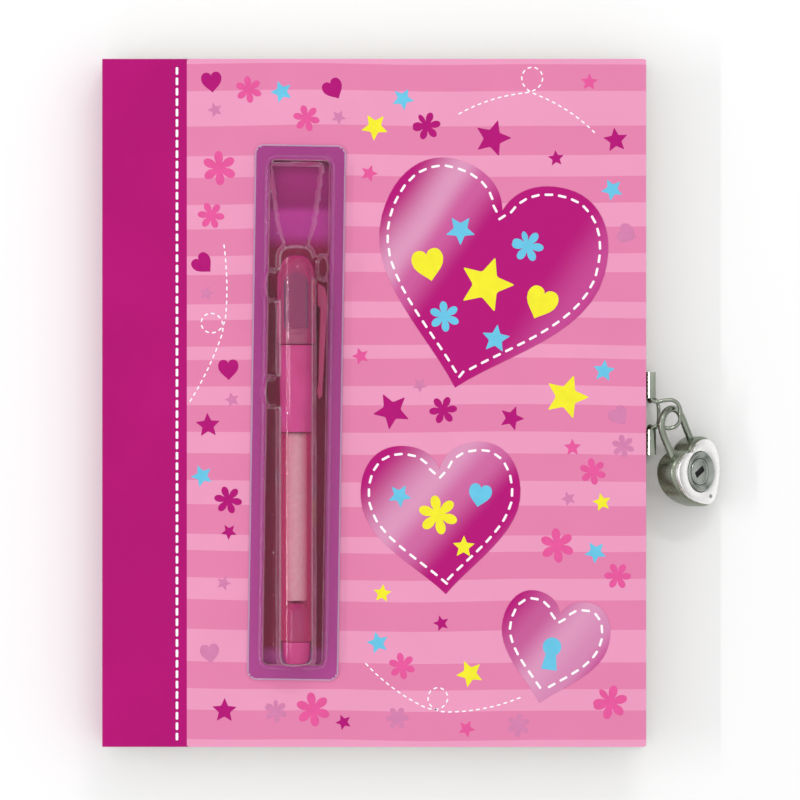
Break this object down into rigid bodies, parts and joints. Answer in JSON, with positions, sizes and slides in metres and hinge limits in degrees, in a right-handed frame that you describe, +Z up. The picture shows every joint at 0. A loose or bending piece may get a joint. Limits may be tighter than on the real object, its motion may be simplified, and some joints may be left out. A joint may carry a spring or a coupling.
{
  "type": "secret diary",
  "caption": "Hardback diary with striped cover, foil hearts, a pen in a clear blister and a heart padlock hung on wire loops at the fore-edge.",
  "frame": {"origin": "centre of the back cover's outer face, on the surface the diary lies on", "axes": "+X from spine to fore-edge, +Y to the head of the cover, +Z up through the front cover"},
  "size_m": [0.1937, 0.215, 0.0312],
  "materials": {
    "cover_print": "printed paper with a gloss film",
    "magenta_wrap": "plain printed paper with a gloss film",
    "grey_board": "uncoated grey board",
    "page_paper": "uncoated cream paper",
    "endpaper": "uncoated pink paper",
    "lining_cloth": "open cotton mull with glue",
    "foil": "hot-stamped metallic foil",
    "clear_plastic": "clear thermoformed sheet",
    "violet_card": "printed card",
    "well_card": "printed card",
    "pen_pink": "moulded gloss plastic",
    "pen_clear": "tinted clear moulded plastic",
    "ink_fibre": "pressed fibre",
    "nickel_steel": "nickel-plated steel",
    "polished_nickel": "polished nickel plate",
    "violet_lamp": "tinted epoxy lamp"
  },
  "bodies": {
    "book": {"back_print_sheet": "cover_print", "back_spine_strip": "magenta_wrap", "back_board": "grey_board", "back_endpaper": "endpaper", "spine_board": "grey_board", "spine_wrap": "magenta_wrap", "page_block": "page_paper", "spine_lining": "lining_cloth", "back_hasp": "nickel_steel"},
    "title_leaf": {"title_leaf": "page_paper"},
    "flyleaf": {"flyleaf": "endpaper"},
    "front_cover": {"front_print_sheet": "cover_print", "front_spine_strip": "magenta_wrap", "front_board": "grey_board", "front_endpaper": "endpaper", "foil_heart_large": "foil", "foil_heart_medium": "foil", "foil_heart_small": "foil", "well_liner": "well_card", "backing_card": "violet_card", "blister": "clear_plastic", "pen_barrel": "pen_clear", "ink_reservoir": "ink_fibre", "pen_nib": "ink_fibre", "pen_end_plug": "pen_pink", "front_hasp": "nickel_steel"},
    "pen_cap": {"cap_sleeve": "pen_pink", "light_head": "pen_clear", "button_cell_1": "nickel_steel", "button_cell_2": "nickel_steel", "button_cell_3": "nickel_steel", "uv_lamp": "violet_lamp", "pocket_clip": "pen_pink"},
    "light_button": {"light_button": "clear_plastic"},
    "front_loop": {"front_loop": "nickel_steel"},
    "back_loop": {"back_loop": "nickel_steel"},
    "shackle": {"shackle": "nickel_steel"},
    "padlock": {"lock_case": "nickel_steel", "lock_face_plate": "polished_nickel", "keyhole_collar": "nickel_steel"},
    "key_plug": {"key_plug": "nickel_steel"}
  },
  "joints": [
    {"name": "cover_hinge", "type": "hinge", "parent": "book", "child": "front_cover", "pos_m": [-0.08175, 0, 0.02], "axis": [0, -1, 0], "range_deg": [0, 180]},
    {"name": "flyleaf_turn", "type": "hinge", "parent": "book", "child": "flyleaf", "pos_m": [-0.0804, 0, 0.0154], "axis": [0, -1, 0], "range_deg": [0, 90]},
    {"name": "title_leaf_turn", "type": "hinge", "parent": "book", "child": "title_leaf", "pos_m": [-0.0804, 0, 0.0154], "axis": [0, -1, 0], "range_deg": [0, 76]},
    {"name": "pen_cap_pull", "type": "slide", "parent": "front_cover", "child": "pen_cap", "axis": [0, 1, 0], "range_m": [0, 0.0025]},
    {"name": "light_button_press", "type": "slide", "parent": "pen_cap", "child": "light_button", "axis": [0, 0, -1], "range_m": [0, 0.0006], "stiffness_N_per_m": 400},
    {"name": "front_loop_swing", "type": "hinge", "parent": "front_cover", "child": "front_loop", "pos_m": [0.0866, 0, 0.0184], "axis": [0, 1, 0], "range_deg": [-90, 0]},
    {"name": "back_loop_swing", "type": "hinge", "parent": "book", "child": "back_loop", "pos_m": [0.0866, 0, 0.0017], "axis": [0, 1, 0], "range_deg": [0, 60]},
    {"name": "padlock_swing", "type": "hinge", "parent": "front_loop", "child": "shackle", "pos_m": [0.09199, -0.00793, 0.01793], "axis": [-0.6758, 0.7347, 0.059], "range_deg": [0, 40]},
    {"name": "shackle_slide", "type": "slide", "parent": "shackle", "child": "padlock", "axis": [0.3576, -0.859, -0.3665], "range_m": [0, 0.005]},
    {"name": "key_plug_turn", "type": "hinge", "parent": "padlock", "child": "key_plug", "pos_m": [0.09949, -0.02169, 0.01043], "axis": [0.7315, 0.0136, 0.6817], "range_deg": [-90, 0]}
  ],
  "couplings": [
    {"joint": "flyleaf_turn", "follows": "cover_hinge", "ratio": 0.5},
    {"joint": "title_leaf_turn", "follows": "cover_hinge", "ratio": 0.42}
  ]
}
